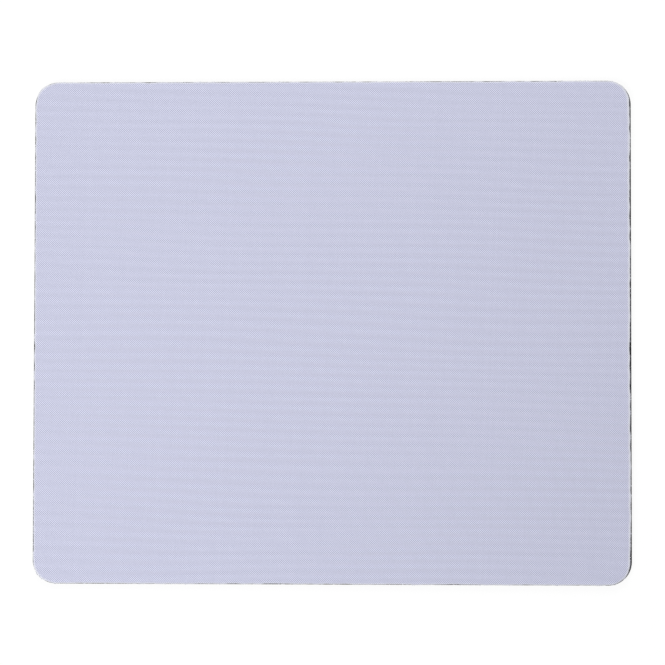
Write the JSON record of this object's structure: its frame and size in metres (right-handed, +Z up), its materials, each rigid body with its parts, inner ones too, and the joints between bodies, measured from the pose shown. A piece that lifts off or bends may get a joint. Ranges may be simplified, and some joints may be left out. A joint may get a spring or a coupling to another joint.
{
  "type": "mouse pad",
  "caption": "Flat rectangular mouse pad with rounded corners: woven cloth working face on a black foam-rubber base with an anti-slip wave tread.",
  "frame": {"origin": "middle of the footprint, on the plane that the pad rests on", "axes": "+X along the length, to the right in use; +Y along the depth, away from the user; +Z up out of the cloth face"},
  "size_m": [0.2414, 0.2032, 0.0032],
  "materials": {
    "rubber": "matt black foam rubber with an open die-cut wall",
    "glue": "milky hot-melt film",
    "cloth": "fine plain weave, pale lavender white, matt"
  },
  "bodies": {
    "root": {"rubber_base": "rubber", "bonding_film": "glue", "fabric_top": "cloth"}
  },
  "joints": []
}
